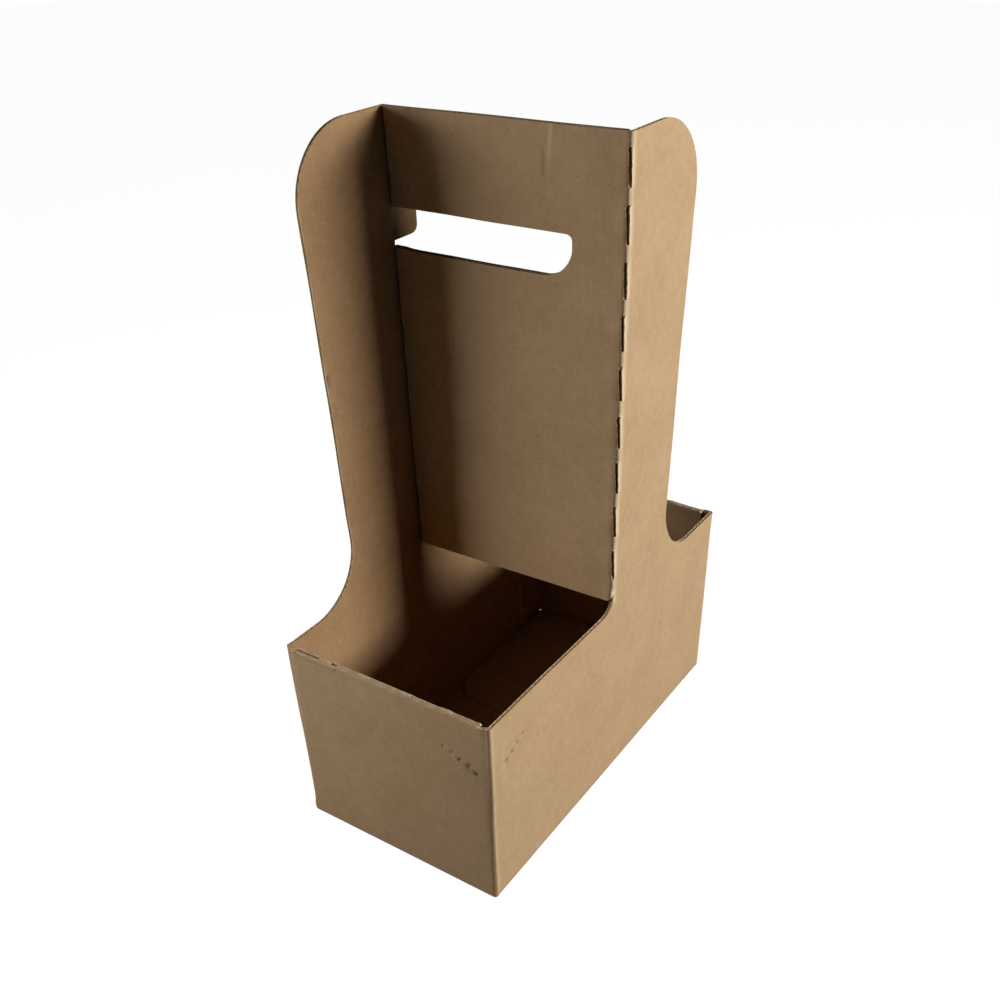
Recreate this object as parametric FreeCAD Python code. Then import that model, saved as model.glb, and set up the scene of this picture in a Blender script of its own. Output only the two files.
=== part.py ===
import FreeCAD, Part
import math
import os
from FreeCAD import Vector

os.makedirs("parts", exist_ok=True)

# A two-cup carrier folded and glued from one die-cut sheet of corrugated board, in millimetres.
# X runs across the width, Y along the length, +Z up. The origin is the centre of the underside.

# The board and its folds
board = 1.5
fold_outside = 1.6
fold_inside = 0.4
fold_land = 0.2

# The open box
rim_width = 100.0
length = 190.0
rim_height = 90.0
flare = 0.02
end_flare = 0.03

# The upright handle: two fins and the double panel between them, turned half round each other
height = 285.0
handle_y = -4.2
panel_slant = 0.028
panel_bottom = 94.6
free_edge_gap = 1.2
panel_corner_radius = 4.0

# A fin's outline, measured along Y from the handle's middle
fin_reach_top = 52.5
fin_reach_waist = 46.0
fin_top_radius = 29.0
waist_radius = 26.0
throat_radius = 9.0

# The hand hole through both layers of the panel
hole_low = 231.0
hole_high = 247.3
hole_end = 28.6
hole_top_radius = 2.2
hole_bottom_radius = 10.0

# The tongue that stays in the left fin when the rear layer is folded out of it
tongue_reach = 12.2
tongue_low = 233.2
tongue_radius = 3.5

# The cut-and-tie fold between the right fin and the front layer, and its mirror at the left
cut_pitch = 20.0
cut_length = 14.0
cut_depth = 1.1
first_cut = 4.9

# The end walls are doubled by a hem folded in over the rim, creased the same way
hem_depth = 30.0
hem_side_clearance = 3.0
hem_radius = 1.2
hem_slit_width = 0.5
hem_slit_depth = 1.2
hem_slits = 5

# The bottom: two long flaps outside that meet on the middle line, two end flaps glued over them
seam_gap = 0.6
end_flap_meeting = 4.0
end_flap_gap = 2.0
end_flap_side_clearance = 2.0
end_flap_radius = 16.0
corner_relief_radius = 1.0

# The glue tab inside the left wall at the rear corner
glue_tab_width = 20.0
glue_tab_end = 6.0

# Perforations that run down to the corner edge at the front right and the rear left
perforation_count = 5
perforation_step = 3.95
perforation_first = 5.9
perforation_low = 63.4
perforation_rise = 0.45
perforation_radius = 0.5

# How far cutters reach past the board, and how closely two points count as the same
margin = 20.0
tolerance = 0.01


def half_width(z):
    """Half the width over the outer faces of the long walls, which lean out by the flare."""
    return rim_width / 2 + flare * (z - rim_height)


def half_length(z):
    """Half the length over the outer faces of the end walls, which lean out as well."""
    return length / 2 + end_flare * (z - rim_height)


def outline(corners, place):
    """A closed wire through corners (u, v, radius), each turned by an arc where its radius isn't 0."""
    edges = []
    ends = []
    for i, (u, v, radius) in enumerate(corners):
        here = Vector(u, v, 0)
        back = (Vector(*corners[i - 1][:2], 0) - here).normalize()
        ahead = (Vector(*corners[(i + 1) % len(corners)][:2], 0) - here).normalize()
        if radius == 0:
            ends.append((here, None, here))
            continue
        half = back.getAngle(ahead) / 2
        reach = radius / math.tan(half)
        middle = here + (back + ahead).normalize() * (radius / math.sin(half) - radius)
        ends.append((here + back * reach, middle, here + ahead * reach))
    for i, (start, middle, end) in enumerate(ends):
        if middle is not None:
            arc = [place(p.x, p.y) for p in (start, middle, end)]
            edges.append(Part.Arc(*arc).toShape())
        following = ends[(i + 1) % len(ends)][0]
        if (following - end).Length > tolerance:
            edges.append(Part.LineSegment(place(end.x, end.y), place(following.x, following.y)).toShape())
    return Part.Wire(edges)


def side_plate(corners, x_from, x_to):
    """A flat outline drawn in Y and Z, made solid from one X to another."""
    wire = outline(corners, lambda y, z: Vector(x_from, y, z))
    return Part.Face(wire).extrude(Vector(x_to - x_from, 0, 0))


def front_plate(corners, y_from, y_to):
    """A flat outline drawn in X and Z, made solid from one Y to another."""
    wire = outline(corners, lambda x, z: Vector(x, y_from, z))
    return Part.Face(wire).extrude(Vector(0, y_to - y_from, 0))


def leaning_prism(plan, z_low, z_high):
    """A solid with flat sides between the plan drawn at two heights."""
    low = [Vector(x, y, z_low) for x, y in plan(z_low)]
    high = [Vector(x, y, z_high) for x, y in plan(z_high)]
    count = len(low)
    rings = [low[::-1], high]
    for i in range(count):
        j = (i + 1) % count
        rings.append([low[i], low[j], high[j], high[i]])
    shell = Part.makeShell([Part.Face(Part.makePolygon(ring + ring[:1])) for ring in rings])
    shell.sewShape()
    solid = Part.makeSolid(shell)
    if solid.Volume < 0:
        solid.reverse()
    return solid


def upright_edges(solid, places):
    """The edges that rise from the plan points given."""
    found = []
    for edge in solid.Edges:
        low, high = sorted(edge.Vertexes, key=lambda v: v.Z)
        if high.Z - low.Z < board:
            continue
        if any(math.hypot(low.X - x, low.Y - y) < tolerance for x, y in places):
            found.append(edge)
    return found


def half_turned(shape, middle_y):
    """The same shape turned half round about an upright line on the carrier's long middle plane."""
    turned = shape.copy()
    turned.rotate(Vector(0, middle_y, 0), Vector(0, 0, 1), 180)
    return turned


def box_plan(inset):
    """The plan of the box at any height, set in from its outer faces."""
    def plan(z):
        x = half_width(z) - inset
        y = half_length(z) - inset
        return [(-x, -y), (x, -y), (x, y), (-x, y)]
    return plan


def tall_shell():
    """Four walls at the full height with a floor, all of board thickness and folded round."""
    outer = leaning_prism(box_plan(0), 0, height)
    corners = box_plan(0)(0)
    bottom = [e for e in outer.Edges if max(v.Z for v in e.Vertexes) < tolerance]
    outer = outer.makeFillet(fold_outside, upright_edges(outer, corners) + bottom)
    inner = leaning_prism(box_plan(board), board, height + margin)
    inner_bottom = [e for e in inner.Edges if max(v.Z for v in e.Vertexes) < board + tolerance]
    inner_corners = box_plan(board)(board)
    inner = inner.makeFillet(fold_inside, upright_edges(inner, inner_corners) + inner_bottom)
    return outer.cut(inner)


def panel_front(x):
    """The Y of the front layer's front face. The two layers meet on the handle's middle line."""
    return handle_y + panel_slant * x - board * math.hypot(1, panel_slant)


def panel_back(x):
    """The Y of the plane where the two layers meet."""
    return handle_y + panel_slant * x


fold_y = panel_front(half_width(height))
fold_end_y = fold_y + fold_outside + fold_land
fold_start_z = panel_bottom + panel_corner_radius


def waste_over_wall(turn):
    """What is cut away over one long wall: all that is above its rim and outside its fin.

    turn is 1 for the right wall and -1 for the left one, whose fin is the right one turned half round.
    """
    def at(offset):
        return handle_y + turn * offset

    join = fold_end_y - handle_y
    slope = (fin_reach_top - fin_reach_waist) / (height - fin_top_radius - rim_height - waist_radius)
    edge_low = fin_reach_waist - slope * waist_radius
    edge_high = fin_reach_top + slope * fin_top_radius
    far = length / 2 + margin
    corners = [
        (-turn * far, rim_height, 0),
        (at(join), rim_height, throat_radius),
        (at(join), height, 0),
        (at(edge_high), height, fin_top_radius),
        (at(edge_low), rim_height, waist_radius),
        (turn * far, rim_height, 0),
        (turn * far, height + margin, 0),
        (-turn * far, height + margin, 0),
    ]
    return side_plate(corners, 0, turn * (half_width(height) + margin))


def folded_layer():
    """The front layer of the panel with its fold and a strip of the right fin."""
    slant = math.atan(panel_slant)

    def plan(z):
        outer_x = half_width(z)
        inner_x = outer_x - board
        free_x = -(inner_x - free_edge_gap)
        overlap_y = fold_end_y + fold_outside
        return [
            (free_x, panel_front(free_x)),
            (outer_x, panel_front(outer_x)),
            (outer_x, overlap_y),
            (inner_x, overlap_y),
            (inner_x, panel_back(inner_x)),
            (free_x, panel_back(free_x)),
        ]

    solid = leaning_prism(plan, panel_bottom, height)
    points = plan(panel_bottom)
    solid = solid.makeFillet(fold_outside, upright_edges(solid, points[1:2]))
    return solid.makeFillet(fold_inside, upright_edges(solid, points[4:5]))


def panel_bottom_waste():
    """Rounds the lower corner of the layer where it meets the fold, as far back as the fold goes."""
    edge_x = half_width(fold_start_z)
    corners = [
        (0, panel_bottom - margin, 0),
        (0, panel_bottom, 0),
        (edge_x, panel_bottom, panel_corner_radius),
        (edge_x, fold_start_z, 0),
        (edge_x + margin, fold_start_z, 0),
        (edge_x + margin, panel_bottom - margin, 0),
    ]
    return front_plate(corners, handle_y - margin, fold_end_y)


def hand_hole(x_open, y_from, y_to):
    """The hand hole's cutter, open at its left past x_open."""
    corners = [
        (x_open, hole_low, 0),
        (hole_end, hole_low, hole_bottom_radius),
        (hole_end, hole_high, hole_top_radius),
        (x_open, hole_high, 0),
    ]
    return front_plate(corners, y_from, y_to)


def fold_cuts():
    """The square notches that a fold cut through in stretches shows on its outside."""
    cuts = []
    top = height - first_cut
    while top - cut_length > fold_start_z:
        x = half_width(top - cut_length / 2)
        y = panel_front(x)
        notch = Part.makeBox(cut_depth + margin, cut_depth + margin, cut_length)
        notch.translate(Vector(x - cut_depth, y - margin, top - cut_length))
        cuts.append(notch)
        top -= cut_pitch
    return cuts


def tongue():
    """The tab that stands on from the left fin's plane behind the panel, at the hand hole."""
    start = handle_y - (fold_end_y - handle_y) - fold_outside
    end = handle_y + tongue_reach
    corners = [
        (start, tongue_low, 0),
        (end, tongue_low, tongue_radius),
        (end, hole_high, 0),
        (start, hole_high, 0),
    ]
    wall = leaning_prism(
        lambda z: [
            (-half_width(z), start),
            (-half_width(z) + board, start),
            (-half_width(z) + board, end),
            (-half_width(z), end),
        ],
        hole_low,
        hole_high,
    )
    return wall.common(side_plate(corners, -rim_width, 0))


def hem_half():
    """Half the width of a hem, which stays clear of the corner folds."""
    return half_width(rim_height - hem_depth) - board - hem_side_clearance


def hem_seat(turn):
    """The top of an end wall that makes way for the rounded fold of its hem."""
    seat = Part.makeBox(2 * hem_half(), margin, hem_radius + margin)
    seat.translate(Vector(-hem_half(), turn * length / 2 - margin / 2, rim_height - hem_radius))
    return seat


def end_hem(turn):
    """The upper part of an end wall at double thickness, folded in over the rim in one piece."""
    low = rim_height - hem_depth
    corners = [
        (turn * half_length(low), low, 0),
        (turn * half_length(rim_height), rim_height, hem_radius),
        (turn * (half_length(rim_height) - 2 * board), rim_height, hem_radius),
        (turn * (half_length(low) - 2 * board), low, 0),
    ]
    return side_plate(corners, -hem_half(), hem_half())


def hem_slit_cutters(turn):
    """Short grooves along the top of a hem, where the crease was cut through."""
    slits = []
    for i in range(hem_slits):
        middle = (i - (hem_slits - 1) / 2) * cut_pitch
        slit = Part.makeBox(cut_length, hem_slit_width, hem_slit_depth + margin)
        y = turn * (length / 2 - board)
        slit.translate(Vector(middle - cut_length / 2, y - hem_slit_width / 2, rim_height - hem_slit_depth))
        slits.append(slit)
    return slits


def end_flap(turn):
    """A bottom flap folded in from an end wall and glued over the two long flaps."""
    wall_y = turn * (half_length(board) - board)
    tip_y = end_flap_meeting + turn * end_flap_gap / 2
    half = half_width(0) - board - end_flap_side_clearance
    corners = [
        (-half, wall_y, 0),
        (half, wall_y, 0),
        (half, tip_y, end_flap_radius),
        (-half, tip_y, end_flap_radius),
    ]
    wire = outline(corners, lambda x, y: Vector(x, y, board))
    return Part.Face(wire).extrude(Vector(0, 0, board))


def glue_tab():
    """The strip that the rear end wall's edge carries, glued inside the left wall."""
    low = 2 * board
    high = rim_height - glue_tab_end
    rear = half_length(high) - board
    front = half_length(low) - board - glue_tab_width
    corners = [
        (rear, low, 0),
        (rear, high, 0),
        (front, high - glue_tab_end, 0),
        (front, low + glue_tab_end, 0),
    ]

    def plan(z):
        outer_x = -half_width(z) + board
        end_y = half_length(z) - board
        return [(outer_x, front), (outer_x + board, front), (outer_x + board, end_y), (outer_x, end_y)]

    return leaning_prism(plan, low, high).common(side_plate(corners, -rim_width, 0))


def perforations():
    """Small round holes in two rows that fall towards the front right corner edge."""
    holes = []
    for i in range(perforation_count):
        away = perforation_first + i * perforation_step
        z = perforation_low + perforation_rise * away
        end_spot = Vector(half_width(z) - away, -half_length(z) - board, z)
        side_spot = Vector(half_width(z) + board, -half_length(z) + away, z)
        holes.append(Part.makeCylinder(perforation_radius, 3 * board, end_spot, Vector(0, 1, 0)))
        holes.append(Part.makeCylinder(perforation_radius, 3 * board, side_spot, Vector(-1, 0, 0)))
    return holes


def corner_reliefs():
    """The open spots at the bottom corners, where the flaps are notched to fold."""
    reliefs = []
    for x in (-1, 1):
        for y in (-1, 1):
            relief = Part.makeCylinder(corner_relief_radius, margin + board + 2 * fold_inside)
            relief.translate(Vector(x * (half_width(0) - board), y * (half_length(0) - board), -margin))
            reliefs.append(relief)
    return reliefs


body = tall_shell()
body = body.cut([waste_over_wall(1), waste_over_wall(-1)])

front_layer = folded_layer().cut(panel_bottom_waste())
rear_layer = half_turned(front_layer, handle_y)
cuts = fold_cuts()
front_layer = front_layer.cut(cuts)
rear_layer = rear_layer.cut([half_turned(cut, handle_y) for cut in cuts])

hole_left = -half_width(height) - margin
front_layer = front_layer.cut(hand_hole(hole_left, handle_y - margin, fold_end_y))
rear_fold_end_y = 2 * handle_y - fold_end_y
rear_layer = rear_layer.cut(hand_hole(hole_left, rear_fold_end_y, handle_y + margin))

carrier = body.fuse([front_layer, rear_layer, tongue()])

seam_half = half_length(0) - fold_outside
seam = Part.makeBox(seam_gap, 2 * seam_half, board + margin)
seam.translate(Vector(-seam_gap / 2, -seam_half, -margin))
carrier = carrier.cut([seam] + corner_reliefs())

for turn in (-1, 1):
    carrier = carrier.cut(hem_seat(turn))
    carrier = carrier.fuse([end_hem(turn), end_flap(turn)])
carrier = carrier.fuse(glue_tab()).removeSplitter()
for turn in (-1, 1):
    carrier = carrier.cut(hem_slit_cutters(turn))

holes = perforations()
carrier = carrier.cut(holes + [half_turned(hole, 0) for hole in holes])

box = carrier.BoundBox
print("solids", len(carrier.Solids), "valid", carrier.isValid(), "volume", round(carrier.Volume))
print("size", round(box.XLength, 2), round(box.YLength, 2), round(box.ZLength, 2), "lowest", round(box.ZMin, 3))
carrier.Solids[0].exportStep("parts/folded_carrier.step")
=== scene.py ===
import math

import bmesh
import bpy
from mathutils import Matrix, Vector, noise


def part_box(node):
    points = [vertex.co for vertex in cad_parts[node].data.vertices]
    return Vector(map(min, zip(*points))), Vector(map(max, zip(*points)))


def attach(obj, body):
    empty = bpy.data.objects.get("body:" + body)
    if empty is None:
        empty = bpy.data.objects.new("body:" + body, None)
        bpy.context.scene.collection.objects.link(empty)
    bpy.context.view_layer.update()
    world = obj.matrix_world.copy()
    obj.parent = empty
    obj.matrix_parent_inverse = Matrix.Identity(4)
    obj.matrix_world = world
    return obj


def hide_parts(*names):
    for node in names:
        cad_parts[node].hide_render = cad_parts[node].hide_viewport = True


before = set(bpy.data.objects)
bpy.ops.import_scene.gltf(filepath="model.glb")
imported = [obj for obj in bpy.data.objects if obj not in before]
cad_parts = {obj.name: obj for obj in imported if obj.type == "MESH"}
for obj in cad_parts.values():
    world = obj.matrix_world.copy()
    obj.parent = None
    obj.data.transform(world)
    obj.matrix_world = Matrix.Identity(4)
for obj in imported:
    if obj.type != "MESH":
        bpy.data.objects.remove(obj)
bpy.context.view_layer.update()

# The sheet is one die-cut blank of fine-flute corrugated board, folded up and glued at one tab.
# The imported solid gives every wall, fold and cut. It is sliced into small fields here, so that the
# board can bend, and each field is told apart as outer paper, inner paper or cut edge. In millimetres.
per_metre = 1000
board = 1.5
rim_half_width = 50.0
rim_half_length = 95.0
rim_height = 90.0
flare = 0.02
end_flare = 0.03
end_walls_from = 88.0
tab_from = 65.0
handle_y = -4.2
panel_slant = 0.028
panel_bottom = 94.6
hem_half_width = 45.6
hem_low = 60.0
hem_turn = 1.4
hem_slit = 0.3
around_rim = 5.0
field = 3.4
touch = 0.06
snap = 0.01
leftward, rightward = Vector((-1, 0, 0)), Vector((1, 0, 0))
forward, rearward = Vector((0, -1, 0)), Vector((0, 1, 0))
downward = Vector((0, 0, -1))
outer_paper, inner_paper, cut_edge = range(3)
low, high = [per_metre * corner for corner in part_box("folded_carrier")]


def half_width(z):
    return rim_half_width + flare * (z - rim_height)


def half_length(z):
    return rim_half_length + end_flare * (z - rim_height)


def sheets_at(p):
    """The layers of board that a point lies in: the outward direction of each, and the height of the
    point over the layer's middle."""
    x, y, z = p
    behind = y - handle_y - panel_slant * x
    layers = []
    for side, sideways in ((-1, leftward), (1, rightward)):
        layers.append((sideways, side * x - half_width(z) + board / 2))
    if x < 0 and y > tab_from and z < rim_height - around_rim:
        layers.append((leftward, -x - half_width(z) + 1.5 * board))
    if z > panel_bottom - touch:
        layers.append((forward, -behind - board / 2))
        layers.append((rearward, behind - board / 2))
    if z < rim_height + touch:
        for end, outward, inward in ((-1, forward, rearward), (1, rearward, forward)):
            depth = end * y - half_length(z)
            layers.append((outward, depth + board / 2))
            if abs(x) < hem_half_width + touch and z > hem_low - touch:
                layers.append((inward, -depth - 1.5 * board))
    layers.append((downward, board / 2 - z))
    layers.append((downward, 1.5 * board - z))
    return [(up, over) for up, over in layers if abs(over) < board / 2 + touch]


def on_hem_fold(p):
    return abs(p.y) > end_walls_from and p.z > rim_height - hem_turn and abs(p.x) < hem_half_width + touch


def paper_of(face):
    """What a field shows: outer paper, inner paper, or the board's cut edge."""
    centre = face.calc_center_median()
    if on_hem_fold(centre) and abs(face.normal.x) < 0.5 and face.normal.z > -0.2:
        in_slit = abs(abs(centre.y) - (rim_half_length - board)) < hem_slit
        return cut_edge if in_slit else outer_paper
    best = 0
    for up, over in sheets_at(centre):
        facing = face.normal.dot(up)
        in_thickness = abs(abs(over) - board / 2) > 0.2
        squarely_inside = abs(facing) > 0.9 and in_thickness
        if abs(facing) > max(0.35, abs(best)) and not squarely_inside:
            best = facing
    if best == 0:
        return cut_edge
    return outer_paper if best > 0 else inner_paper


def slice_fields(bm, faces, point, normal):
    """Cuts fields along a plane and gives back all that they have become."""
    edges = {e for f in faces for e in f.edges}
    verts = {v for f in faces for v in f.verts}
    geometry = list(verts) + list(edges) + list(faces)
    made = bmesh.ops.bisect_plane(bm, geom=geometry, dist=snap, plane_co=point, plane_no=normal)
    return [g for g in made["geom"] if isinstance(g, bmesh.types.BMFace)]


def slice_along(bm, faces, axis, places):
    """Slices at each place along an axis, the middle one first."""
    if not faces or not places:
        return
    half = len(places) // 2
    normal = Vector([float(i == axis) for i in range(3)])
    faces = slice_fields(bm, faces, normal * places[half], normal)
    before = [f for f in faces if f.calc_center_median()[axis] < places[half]]
    after = [f for f in faces if f.calc_center_median()[axis] >= places[half]]
    slice_along(bm, before, axis, places[:half])
    slice_along(bm, after, axis, places[half + 1:])


def steps(start, end, size):
    count = max(1, round((end - start) / size))
    return [start + (end - start) * i / count for i in range(1, count)]


def fields_where(faces, test):
    """The fields whose centre passes a test."""
    return [f for f in faces if test(f.calc_center_median())]


sheet_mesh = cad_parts["folded_carrier"].data.copy()
sheet_mesh.name = "folded_sheet"
bm = bmesh.new()
bm.from_mesh(sheet_mesh)
bm.transform(Matrix.Scale(per_metre, 4))
bmesh.ops.remove_doubles(bm, verts=bm.verts[:], dist=0.001)
bmesh.ops.dissolve_limit(bm, angle_limit=0.001, verts=bm.verts[:], edges=bm.edges[:])
for axis in range(3):
    slice_along(bm, bm.faces[:], axis, steps(low[axis], high[axis], field))

# The handle's two folds are cut and tied: cuts of 14 mm go through the board and leave ties of 6 mm.
# The tray's corners and rims are scored and folded. Folding gives the board beads, bulges and steps
# there, so the fields beside these folds are sliced finer.
cut_pitch = 20.0
cut_length = 14.0
first_cut = 4.9
fold_y = handle_y + panel_slant * half_width(high.z) - board
fold_reach = 6.0
divide_slant = 0.02
groove_middle = 1.1
fold_field = 1.6
rim_field = 1.4
crease_half_width = 48.0


def from_fold(p):
    """Which fold is nearer, 1 for the right one, and how far a point is from it: out past the fin, and
    forward of the panel."""
    side = 1 if (p.y - handle_y) * divide_slant + p.x > 0 else -1
    ahead = side * (handle_y - p.y) - (handle_y - fold_y)
    return side, side * p.x - half_width(p.z), ahead


def near_fold(p):
    side, out, ahead = from_fold(p)
    return p.z > panel_bottom and abs(out) < fold_reach and abs(ahead) < fold_reach


def near_corner(p):
    return p.z < rim_height + around_rim and abs(p.x) > 42 and abs(p.y) > 86


def near_rim(p):
    return abs(p.y) > end_walls_from and p.z > rim_height - around_rim


for side in (-1, 1):
    for away in (0.8, 1.8, 3.2, 5.0):
        corner = fields_where(bm.faces, near_corner)
        at_wall = Vector((side * (rim_half_width - away), 0, rim_height))
        corner = slice_fields(bm, corner, at_wall, Vector((side, 0, -flare)))
        at_end = Vector((0, side * (rim_half_length - away), rim_height))
        slice_fields(bm, corner, at_end, Vector((0, side, -end_flare)))
        at_fin = Vector((0, handle_y + side * (fold_y + groove_middle + away - handle_y), 0))
        slice_fields(bm, fields_where(bm.faces, near_fold), at_fin, rearward)
slice_along(bm, fields_where(bm.faces, near_fold), 2, steps(panel_bottom, high.z, fold_field))
creases = steps(-crease_half_width, crease_half_width, rim_field)
slice_along(bm, fields_where(bm.faces, near_rim), 0, creases)
slice_along(bm, fields_where(bm.faces, near_rim), 2, (87.2, 88.4, 89.2))

# Handling left two upright strokes near the panel's top, one pale and one dark, and tore fibres along
# the hand hole's lower edge. Narrow fields there keep these marks narrow.
pale_stroke_x = 21.9
dark_stroke_x = 18.8
hole_low = 231.0
torn_depth = 0.7


def near_strokes(p):
    return p.z > 262 and 16 < p.x < 25


def under_hole(p):
    return abs(p.y - handle_y) < 4 and hole_low - 4 < p.z < hole_low


stroke_cuts = (18.2, dark_stroke_x, 19.4, 20.2, 20.7, 21.3, pale_stroke_x, 22.6)
slice_along(bm, fields_where(bm.faces, near_strokes), 0, stroke_cuts)
slice_along(bm, fields_where(bm.faces, under_hole), 2, (hole_low - torn_depth,))

# The perforations run down to two opposite corners, in two rows of five each. They were pricked with
# pins and their paper closed up again, so the solid's round holes are drawn in to pin marks.
pins = 5
first_pin = 5.9
pin_pitch = 3.95
lowest_pin = 63.4
pin_slope = 0.45
pin_rim = 0.53
pin_closing = 0.65


def in_perforations(p):
    return 62 < p.z < 84 and abs(p.y) > 60 and p.x * p.y < 0


def to_pin_mark(p):
    """How far a point on a perforation's rim moves inward."""
    if not in_perforations(p):
        return Vector()
    end, side = math.copysign(1, p.y), math.copysign(1, p.x)
    for i in range(pins):
        away = first_pin + pin_pitch * i
        z = lowest_pin + pin_slope * away
        across = Vector((side * (half_width(z) - away) - p.x, 0, z - p.z))
        along = Vector((0, end * (half_length(z) - away) - p.y, z - p.z))
        for offset in (across, along):
            if offset.length < pin_rim:
                return offset * pin_closing
    return Vector()


# The cut edges show two papers with the fluted medium between them, open where a knife went through.
# The core between the papers is sunk here, and the medium stands in it later as a wave of its own.
liner = 0.24
core_depth = 0.28


def in_core(face):
    """Whether a cut field lies between the two papers of its board, and may be sunk."""
    centre = face.calc_center_median()
    square_on = [(up, over) for up, over in sheets_at(centre) if abs(face.normal.dot(up)) < 0.5]
    in_a_fold = len({tuple(up) for up, over in square_on}) < len(sheets_at(centre))
    if not square_on or in_a_fold or in_perforations(centre) or on_hem_fold(centre):
        return False
    return all(abs(over) < board / 2 - liner for up, over in square_on)


cut_faces = [f for f in bm.faces if paper_of(f) == cut_edge]
for depth in (liner, board - liner, board + liner, 2 * board - liner):
    for side in (-1, 1):
        at_wall = Vector((side * (rim_half_width - depth), 0, rim_height))
        cut_faces = slice_fields(bm, cut_faces, at_wall, Vector((side, 0, -flare)))
        at_end = Vector((0, side * (rim_half_length - depth), rim_height))
        cut_faces = slice_fields(bm, cut_faces, at_end, Vector((0, side, -end_flare)))
    at_panel = Vector((0, handle_y + depth - board, 0))
    cut_faces = slice_fields(bm, cut_faces, at_panel, Vector((-panel_slant, 1, 0)))
    cut_faces = slice_fields(bm, cut_faces, Vector((0, 0, depth)), -downward)
bm.normal_update()
for f in bm.faces:
    f.material_index = paper_of(f)
    f.smooth = not in_perforations(f.calc_center_median())
core_faces = [f for f in bm.faces if f.material_index == cut_edge and in_core(f)]


def average(vectors):
    return sum(vectors, Vector()).normalized()


def core_borders(faces):
    """The outer border of each sunk strip, as chains of (point, outward edge normal, board's up)."""
    core = set(faces)
    links = {}
    for f in faces:
        for e in f.edges:
            if len(e.link_faces) != 2 or all(g in core for g in e.link_faces):
                continue
            middle = (e.verts[0].co + e.verts[1].co) / 2
            for up, over in sheets_at(middle):
                if abs(f.normal.dot(up)) < 0.5 and abs(over - (board / 2 - liner)) < 0.03:
                    for v, other in (e.verts, reversed(e.verts)):
                        links.setdefault((v, tuple(up)), []).append((other, f.normal.copy()))
                    break
    chains = []
    while links:
        ends = [key for key in links if len(links[key]) == 1]
        key = (ends or list(links))[0]
        v, up = key
        chain = []
        while key in links:
            chain.append((v.co.copy(), average([n for w, n in links[key]]), Vector(up)))
            onward = [w for w, n in links.pop(key) if (w, up) in links]
            if not onward:
                break
            v = onward[0]
            key = (v, up)
        if len(chain) > 1:
            chains.append(chain)
    return chains


chains = core_borders(core_faces)
core_normals = {}
for f in core_faces:
    for v in f.verts:
        core_normals.setdefault(v.co.copy().freeze(), []).append(f.normal.copy())
made = bmesh.ops.extrude_face_region(bm, geom=core_faces)
for v in [g for g in made["geom"] if isinstance(g, bmesh.types.BMVert)]:
    v.co -= core_depth * average(core_normals[v.co.copy().freeze()])
bmesh.ops.delete(bm, geom=[f for f in core_faces if f.is_valid], context="FACES")

# The folded board has settled: its walls belly and wave, the cut folds step at their ties, the corners
# are pinched, the rims ragged, the hem gapes at its left end, and the front left foot bulges out.
# The hand hole's right end, its edges and the tongue are moved to where the photograph has them.
noise.seed_set(4)
belly_out = 0.5
tie_out = 0.15
tie_ahead = 0.5
cut_step = 1.5
corner_reach = 6.0
foot_reach = 7.0
foot_bulge = Vector((-0.9, -0.3, 0))
crease_depth = 1.7
rim_rise = 0.4
gap_left = -46.5
gap_right = -24.0
gap_top = 89.4
gap_width = 0.4
hole_left = -46.0
hole_right = 40.0
hole_high = 247.3
hole_end = 28.6
end_shift = 2.1
tongue_growth = 1.3


def bump_at(distance, width):
    return math.exp(-(distance / width) ** 2)


def clamped(value):
    return min(1, max(0, value))


def in_cut(z):
    """How far down a cut of the handle's folds a height is, from 0 to 1, or less than 0 in a tie."""
    down = high.z - z - first_cut
    down -= cut_pitch * math.floor(down / cut_pitch)
    return down / cut_length if down <= cut_length else -1


def belly_walls(p, moved):
    x, y, z = p
    belly = math.sin(math.pi * min(max(z, 0), rim_height) / rim_height)
    moved.x += math.copysign(belly_out, x) * belly * math.cos(math.pi * y / (2 * rim_half_length))
    if abs(y) > 80:
        moved.y += math.copysign(belly_out, y) * belly * math.cos(math.pi * x / (2 * rim_half_width))
    waviness = noise.noise_vector(p / 45) * 0.35 + noise.noise_vector(p / 9) * 0.07
    waviness.z *= min(1, z / 40) * 0.5
    moved += waviness * min(1, z / 10 + 0.3)


def step_folds(p, moved):
    if not near_fold(p):
        return
    side, out, ahead = from_fold(p)
    nearness = max(0, 1 - math.hypot(out, ahead) / fold_reach) ** 2
    down = in_cut(p.z)
    if down < 0:
        moved += Vector((side * tie_out, -side * tie_ahead, 0)) * nearness
    elif ahead < 0.2:
        moved.y -= side * cut_step * nearness * (1 - down)
    moved += noise.noise_vector(p / 1.8) * 0.22 * nearness


def pinch_corners(p, moved):
    x, y, z = p
    from_corner = rim_half_width - abs(x)
    if abs(y) > end_walls_from and z < rim_height + touch and from_corner < corner_reach:
        pinch = bump_at(from_corner - 1.8, 1.1) * (0.22 + 0.18 * noise.noise(p / 14))
        moved.y -= math.copysign(pinch, y)
        moved.x += math.copysign(0.16 * bump_at(half_length(z) - abs(y) - 1.2, 1.4), x)


def bulge_foot(p, moved):
    foot = Vector((-half_width(0), -half_length(0), 2.5))
    moved += foot_bulge * max(0, 1 - (p - foot).length / foot_reach) ** 2


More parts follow.
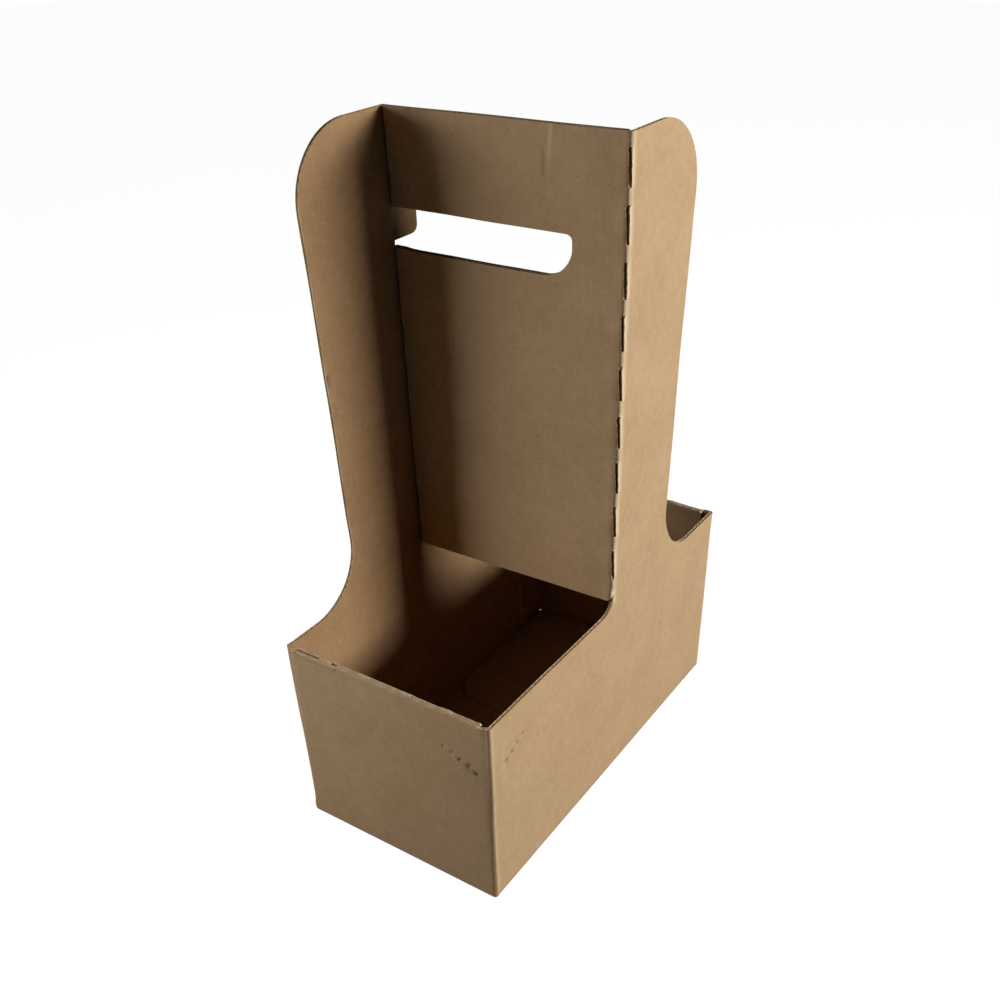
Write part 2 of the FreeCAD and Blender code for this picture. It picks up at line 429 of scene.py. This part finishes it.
def fray_rims(p, moved):
    x, y, z = p
    if not near_rim(p) or abs(x) >= crease_half_width:
        return
    crest = max(0, 1 - (rim_height - z) / crease_depth)
    turn = (x + 10) % cut_pitch
    moved.z += rim_rise * crest * (bump_at(turn, 3) + bump_at(turn - cut_pitch, 3) - 0.6)
    moved += noise.noise_vector(Vector((x / 2.6, y / 8, 3.7))) * 0.3 * crest
    if y < 0 and gap_left < x < gap_right:
        from_gap = half_length(z) + y - board
        moved.y += math.copysign(0.4, from_gap) * clamped(z - 87.5)
        moved.z += (gap_top - z) * bump_at(from_gap, gap_width) * (z > 88.5)


def ease_hole(p, moved):
    x, y, z = p
    if abs(y - handle_y) < 4 and hole_left < x < hole_right:
        rightness = clamped((x + 25) / 20)
        inside = min(1, (x - hole_left) / 3) * min(1, (hole_right - x) / 8)
        moved.x += end_shift * bump_at(x - hole_end, 6) * bump_at(z - 243, 11)
        moved.z -= (0.5 + 0.3 * rightness) * bump_at(z - hole_low, 5) * inside
        moved.z -= 0.4 * rightness * bump_at(z - hole_high, 5) * inside
    if x < hole_left and hole_low < z < hole_high + touch:
        moved.y += tongue_growth * clamped((y - handle_y - 5) / 6)


def settle(p):
    """Where a point of the ideal carrier ends up on this folded one."""
    moved = p.copy()
    for change in (belly_walls, step_folds, pinch_corners, bulge_foot, fray_rims, ease_hole):
        change(p, moved)
    moved.z = max(moved.z, 0.0)
    return moved


# Wear rubs fibres up along corners, rims and torn edges, and there the paper is paler. Along the cut
# folds the paler band is partly rubbed fibres and partly a painted highlight.
# The second stroke is bruised, and there it is darker. The ties and grooves of the cut folds and the
# hem's gap are painted darker, as painted shade.
cut_rub_and_highlight = 1.1
tie_rub_and_highlight = 0.5
painted_tie_shade = 0.7
painted_groove_shade = 1.3
painted_gap_shade = 0.8
pale_corner = 0.45
pale_stroke = 0.6
dark_stroke = 0.45
stroke_slant = 0.07
pale_torn = 1.2


def wear_and_painted_light_at(p):
    """How rubbed the paper is at a point, together with painted light: pale fibres and a painted
    highlight over 0, a dark bruise or painted shade under it.
    """
    side, out, ahead = from_fold(p)
    wear_and_painted_light = 0.0
    # Along the cut folds the fin's edge is painted pale: partly rubbed fibres, partly a painted
    # highlight.
    if p.z > panel_bottom and abs(out) < 0.6 and -4 < ahead < 0.3:
        wear_and_painted_light += (cut_rub_and_highlight if in_cut(p.z) >= 0 else tie_rub_and_highlight) * bump_at(ahead + groove_middle, 1.6)
    # The ties of the cut folds are painted darker, as painted shade on their bulge.
    elif p.z > panel_bottom and abs(out) < 3 and abs(ahead) < 0.4 and in_cut(p.z) < 0:
        wear_and_painted_light -= painted_tie_shade * bump_at(out, 1.6)
    # The groove of each cut is painted dark, as painted shade in the notch between the two cut edges.
    if p.z > panel_bottom and in_cut(p.z) >= 0:
        wear_and_painted_light -= painted_groove_shade * bump_at(math.hypot(out + 1.1, (ahead + 0.8) / 1.4), 0.75)
    if abs(p.y) > end_walls_from and abs(p.x) < crease_half_width:
        rubbed = 0.3 + 0.5 * noise.noise(Vector((p.x / 3, 0, 9.1)))
        wear_and_painted_light += rubbed * bump_at(rim_height - p.z, 0.6)
    # The hem's open gap is painted dark, as painted shade inside the slit.
    if p.y < -end_walls_from and gap_left < p.x < gap_right and p.z < 89.6:
        wear_and_painted_light -= painted_gap_shade * bump_at(half_length(p.z) + p.y - board, gap_width)
    if p.z < rim_height and abs(p.x) > half_width(p.z) - 0.1:
        wear_and_painted_light += pale_corner * bump_at(half_length(p.z) - abs(p.y) - 0.9, 1.2)
    if abs(p.y - handle_y) < 3 and p.z > 262:
        beside_stroke = p.x - pale_stroke_x + stroke_slant * (high.z - p.z)
        wear_and_painted_light += pale_stroke * bump_at(beside_stroke, 0.6) * clamped((p.z - 267) / 10)
        wear_and_painted_light -= dark_stroke * bump_at(p.x - dark_stroke_x, 0.5) * (265 < p.z < 278)
    if abs(p.y - handle_y) < 4 and abs(p.z - hole_low) < touch and -20 < p.x < 20:
        wear_and_painted_light += pale_torn * max(0, noise.noise(Vector((p.x / 4, 0, 5.5))))
    return wear_and_painted_light


# Each point keeps its wear together with its painted highlight and painted shade.
painted_light_and_wear = bm.verts.layers.float.new("wear_and_painted_light")
for v in bm.verts:
    v[painted_light_and_wear] = wear_and_painted_light_at(v.co)
    v.co += to_pin_mark(v.co)
for v in bm.verts:
    v.co = settle(v.co)

# Slicing leaves a few fields without area and pairs lying back to back. They go, so that the sheet
# stays closed.
speck = 0.0005
sharp_fold = 38
bmesh.ops.triangulate(bm, faces=[f for f in bm.faces if len(f.verts) > 4])
bmesh.ops.dissolve_degenerate(bm, dist=speck, edges=bm.edges[:])
bmesh.ops.remove_doubles(bm, verts=bm.verts[:], dist=speck)
back_to_back = {}
for f in bm.faces:
    back_to_back.setdefault(frozenset(f.verts), []).append(f)
slivers = [f for twins in back_to_back.values() if len(twins) > 1 for f in twins]
bmesh.ops.delete(bm, geom=slivers, context="FACES")
bm.transform(Matrix.Scale(1 / per_metre, 4))
sheet_mesh.materials.clear()
bm.to_mesh(sheet_mesh)
bm.free()
sheet_mesh.set_sharp_from_angle(angle=math.radians(sharp_fold))
sheet = bpy.data.objects.new("folded_sheet", sheet_mesh)
bpy.context.scene.collection.objects.link(sheet)


def linear(colour):
    """An sRGB hex value as the linear colour that a node takes."""
    parts = [int(colour[i:i + 2], 16) / 255 for i in (1, 3, 5)]
    return [c / 12.92 if c <= 0.04045 else ((c + 0.055) / 1.055) ** 2.4 for c in parts] + [1.0]


def add_node(tree, kind, settings=None, out=0):
    """Adds a node and gives back one of its outputs. settings are the node's own properties or, by name
    or number, its inputs: each a value to set there, or another node's output to link to it."""
    node = tree.nodes.new(kind)
    for key, value in (settings or {}).items():
        if isinstance(value, bpy.types.NodeSocket):
            tree.links.new(value, node.inputs[key])
        elif isinstance(key, str) and hasattr(node, key):
            setattr(node, key, value)
        else:
            node.inputs[key].default_value = value
    return node.outputs[out]


# The papers are unbleached kraft: mottled, streaked level with the ground, flecked with bark and pale
# fibres. Real fibres of 0.03 mm are too fine to show, so they are drawn coarser. The eye gets a matt,
# slightly hairy brown, with the flutes under it as faint upright ribs.
mottle = 22.22
cloud = 4.167
fibre_length = 1.25
fibre_width = 0.5263
grit = 0.3846
flute_pitch = 3.2
relief_depth = 0.00008
pale_fibre = "#E4CCA6"
rubbed_fibre_and_highlight = "#F6DFB8"


def kraft_paper(name, pale, deep, fleck_and_shade, ribs):
    """A matt paper. pale and deep are its two browns, the third colour its dark fibres and also its
    bruises and painted shade, ribs the flutes' relief.
    """
    material = bpy.data.materials.new(name)
    material.use_nodes = True
    tree = material.node_tree
    surface = tree.nodes["Principled BSDF"]
    surface.inputs["Specular IOR Level"].default_value = 0.12

    # Mottling, grit, clouds and fibres together choose between the two browns.
    place = add_node(tree, "ShaderNodeTexCoord", out="Object")
    stretch = (per_metre / fibre_length, per_metre / fibre_length, per_metre / fibre_width)
    level = add_node(tree, "ShaderNodeVectorMath", {"operation": "MULTIPLY", 0: place, 1: stretch})
    patches = add_node(tree, "ShaderNodeTexNoise", {
        "Vector": place, "Scale": per_metre / mottle, "Detail": 3, "Roughness": 0.5})
    clouds = add_node(tree, "ShaderNodeTexNoise", {
        "Vector": place, "Scale": per_metre / cloud, "Detail": 3, "Roughness": 0.6})
    fibres = add_node(tree, "ShaderNodeTexNoise", {
        "Vector": level, "Scale": 1.0, "Detail": 5, "Roughness": 0.65, "Distortion": 0.4})
    grain = add_node(tree, "ShaderNodeTexNoise", {
        "Vector": place, "Scale": per_metre / grit, "Detail": 1})
    tone = -0.9
    for pattern, weight in ((patches, 0.7), (grain, 0.9), (clouds, 0.8), (fibres, 0.5)):
        tone = add_node(tree, "ShaderNodeMath", {
            "operation": "MULTIPLY_ADD", 0: pattern, 1: weight, 2: tone})
    brown = add_node(tree, "ShaderNodeMix", {
        "data_type": "RGBA", 0: tone, 6: linear(deep), 7: linear(pale)}, out=2)

    # A few cells in a hundred hold a shred: dark bark in some, and a pale fibre in others.
    shreds = add_node(tree, "ShaderNodeTexVoronoi", {
        "Vector": level, "Scale": 0.5, "Randomness": 1.0}).node.outputs
    draw = add_node(tree, "ShaderNodeSeparateColor", {0: shreds["Color"]}).node.outputs
    near = add_node(tree, "ShaderNodeMapRange", {0: shreds["Distance"], 1: 0.4, 2: 0.1})
    for channel, least, colour in ((0, 0.94, fleck_and_shade), (1, 0.93, pale_fibre)):
        drawn = add_node(tree, "ShaderNodeMapRange", {0: draw[channel], 1: least, 2: 1.0, 4: 0.4})
        share = add_node(tree, "ShaderNodeMath", {"operation": "MULTIPLY", 0: near, 1: drawn})
        brown = add_node(tree, "ShaderNodeMix", {
            "data_type": "RGBA", 0: share, 6: brown, 7: linear(colour)}, out=2)

    # Over 0 the value shows rubbed fibres and a painted highlight, and under 0 a bruise or painted shade.
    painted_light_and_wear = add_node(tree, "ShaderNodeAttribute", {"attribute_name": "wear_and_painted_light"}, out="Fac")
    ragged = add_node(tree, "ShaderNodeMapRange", {0: fibres, 1: 0.35, 2: 0.6, 3: 0.6, 4: 1.1})
    for way, colour in ((1.0, rubbed_fibre_and_highlight), (-1.0, fleck_and_shade)):
        share = add_node(tree, "ShaderNodeMath", {"operation": "MULTIPLY", 0: painted_light_and_wear, 1: way})
        share = add_node(tree, "ShaderNodeMath", {"operation": "MULTIPLY", 0: share, 1: ragged})
        brown = add_node(tree, "ShaderNodeMix", {
            "data_type": "RGBA", 0: share, 6: brown, 7: linear(colour)}, out=2)
    tree.links.new(brown, surface.inputs["Base Color"])
    rough = add_node(tree, "ShaderNodeMapRange", {0: fibres, 1: 0.2, 2: 0.8, 3: 0.78, 4: 0.94})
    tree.links.new(rough, surface.inputs["Roughness"])

    # The ribs are counted along y in the side walls, and along x in the end walls and the panel.
    facing = add_node(tree, "ShaderNodeNewGeometry", out="True Normal")
    facing = add_node(tree, "ShaderNodeSeparateXYZ", {0: facing})
    facing = add_node(tree, "ShaderNodeMath", {"operation": "ABSOLUTE", 0: facing})
    sideways = add_node(tree, "ShaderNodeMath", {"operation": "GREATER_THAN", 0: facing, 1: 0.5})
    axes = add_node(tree, "ShaderNodeSeparateXYZ", {0: place}).node.outputs
    along = add_node(tree, "ShaderNodeMix", {
        "data_type": "FLOAT", 0: sideways, 2: axes[0], 3: axes[1]})
    waves = 2 * math.pi * per_metre / flute_pitch
    rib = add_node(tree, "ShaderNodeMath", {"operation": "MULTIPLY", 0: along, 1: waves})
    rib = add_node(tree, "ShaderNodeMath", {"operation": "SINE", 0: rib})
    relief = add_node(tree, "ShaderNodeMath", {"operation": "MULTIPLY_ADD", 0: rib, 1: ribs, 2: fibres})
    relief = add_node(tree, "ShaderNodeMath", {"operation": "ADD", 0: relief, 1: clouds})
    bump = add_node(tree, "ShaderNodeBump", {
        "Height": relief, "Strength": 1.0, "Distance": relief_depth})
    tree.links.new(bump, surface.inputs["Normal"])
    return material


# The outer liner is the palest face, the inner one browner, and the torn edge has clean, pale fibres.
# Each paper's third colour is also the painted shade of the cut folds' ties and grooves and of the hem's
# gap.
sheet_mesh.materials.append(kraft_paper("outer_liner", "#D6B58C", "#BC9A72", "#7C5C3C", 0.1))
sheet_mesh.materials.append(kraft_paper("inner_liner", "#BC9770", "#A07C56", "#6B4A2E", 0.2))
sheet_mesh.materials.append(kraft_paper("torn_edge", "#EBD5B0", "#D0AF86", "#55391F", 0.0))
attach(sheet, "root")
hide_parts("folded_carrier")

# The medium is the wavy paper glued between the two others, and every cut edge shows it in its core.
# Its flutes stand upright in the walls, so it is a wave in the level edges and straight in the others.
medium = 0.16
medium_top = 0.08
medium_foot = core_depth + 0.05
posts_a_turn = 9
post_gap = 5.0
wave = board / 2 - liner - medium / 2


def flute_place(p, up):
    """Where along its wave the medium is at a point, in turns."""
    return (p.y if abs(up.x) > 0.5 or up.z > 0.5 else p.x) / flute_pitch


verts, faces = [], []
for chain in chains:
    posts = []
    for (a, normal_a, up), (b, normal_b, up_b) in zip(chain, chain[1:]):
        turns = abs(flute_place(b, up) - flute_place(a, up))
        count = max(1, math.ceil(turns * posts_a_turn), math.ceil((b - a).length / post_gap))
        for i in range(count):
            share = i / count
            posts.append((a.lerp(b, share), normal_a.lerp(normal_b, share).normalized(), up))
    posts.append(chain[-1])
    ring = len(verts)
    for p, normal, up in posts:
        sway = wave * math.sin(2 * math.pi * flute_place(p, up))
        middle = p - up * (board / 2 - liner - sway)
        for across, deep in ((-1, medium_top), (1, medium_top), (1, medium_foot), (-1, medium_foot)):
            corner = middle + up * (across * medium / 2) - normal * deep
            verts.append(settle(corner) / per_metre)
    for i in range(len(posts) - 1):
        for k in range(4):
            j = (k + 1) % 4
            faces.append((ring + 4 * i + k, ring + 4 * i + j, ring + 4 * i + 4 + j, ring + 4 * i + 4 + k))
    faces.append((ring, ring + 3, ring + 2, ring + 1))
    last = ring + 4 * len(posts) - 4
    faces.append((last, last + 1, last + 2, last + 3))
medium_mesh = bpy.data.meshes.new("fluted_medium")
medium_mesh.from_pydata(verts, [], faces)
bm = bmesh.new()
bm.from_mesh(medium_mesh)
bmesh.ops.recalc_face_normals(bm, faces=bm.faces[:])
bm.to_mesh(medium_mesh)
bm.free()
flutes = bpy.data.objects.new("fluted_medium", medium_mesh)
bpy.context.scene.collection.objects.link(flutes)
medium_mesh.materials.append(kraft_paper("fluted_paper", "#D6B88E", "#B8946A", "#6B4A2E", 0.0))
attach(flutes, "root")

# The camera stands where the photograph was taken from, in front on the right and looking down. Its
# place, turn and lens were solved from ten corners of the carrier.
camera_data = bpy.data.cameras.new("camera")
camera_data.sensor_width = 36
camera_data.lens = 42.08
camera_data.shift_x = -0.0166
camera_data.shift_y = 0.0178
camera_data.clip_start = 0.01
camera = bpy.data.objects.new("camera", camera_data)
turn = Matrix.Rotation(math.radians(34.108), 4, "Z")
tilt = Matrix.Rotation(math.radians(90 - 29.804), 4, "X")
roll = Matrix.Rotation(math.radians(-1.412), 4, "Z")
camera.matrix_world = Matrix.Translation((0.244671, -0.360961, 0.367935)) @ turn @ tilt @ roll
bpy.context.scene.collection.objects.link(camera)
bpy.context.scene.camera = camera

# Two white soft boxes light the carrier. The strong one stands low on the right and leaves the left
# half of the handle in shade, and the weak one fills the front from the left.
handle_middle = Vector((0, 0, 0.14))


def soft_box(name, azimuth, elevation, distance, width, height, watts):
    """A white lamp turned to the carrier. Azimuth is counted from the front towards the right."""
    a, e = math.radians(azimuth), math.radians(elevation)
    away = Vector((math.sin(a) * math.cos(e), -math.cos(a) * math.cos(e), math.sin(e)))
    lamp = bpy.data.lights.new(name, "AREA")
    lamp.shape = "RECTANGLE"
    lamp.size = width
    lamp.size_y = height
    lamp.energy = watts
    holder = bpy.data.objects.new(name, lamp)
    holder.location = handle_middle + distance * away
    holder.rotation_euler = away.to_track_quat("Z", "Y").to_euler()
    bpy.context.scene.collection.objects.link(holder)


soft_box("key_box", azimuth=108, elevation=15.5, distance=1.15, width=0.38, height=0.23, watts=11.8)
soft_box("front_box", azimuth=-43, elevation=13, distance=0.57, width=0.3, height=0.26, watts=1.6)

# The studio is white to the camera alone. Neither its air nor its paper floor lights the carrier, and
# the floor gives back only a little of the lamps' light.
world = bpy.data.worlds.new("studio")
bpy.context.scene.world = world
world.use_nodes = True
tree = world.node_tree
background = tree.nodes["Background"]
background.inputs["Color"].default_value = (1, 1, 1, 1)
seen = add_node(tree, "ShaderNodeLightPath", out="Is Camera Ray")
tree.links.new(seen, background.inputs["Strength"])

reach = 3.0
below = 0.0002
corners = [(-reach, -reach, 0), (reach, -reach, 0), (reach, reach, 0), (-reach, reach, 0)]
floor_mesh = bpy.data.meshes.new("floor")
floor_mesh.from_pydata(corners, [], [(0, 1, 2, 3)])
floor = bpy.data.objects.new("floor", floor_mesh)
floor.location.z = -below
bpy.context.scene.collection.objects.link(floor)
paper = bpy.data.materials.new("studio_paper")
paper.use_nodes = True
tree = paper.node_tree
surface = tree.nodes["Principled BSDF"]
surface.inputs["Base Color"].default_value = (0.2, 0.2, 0.2, 1)
surface.inputs["Roughness"].default_value = 0.9
surface.inputs["Specular IOR Level"].default_value = 0.0
surface.inputs["Emission Color"].default_value = (1, 1, 1, 1)
seen = add_node(tree, "ShaderNodeLightPath", out="Is Camera Ray")
glow = add_node(tree, "ShaderNodeMath", {"operation": "MULTIPLY", 0: seen, 1: 0.97})
tree.links.new(glow, surface.inputs["Emission Strength"])
floor_mesh.materials.append(paper)

bpy.context.scene.view_settings.view_transform = "Standard"
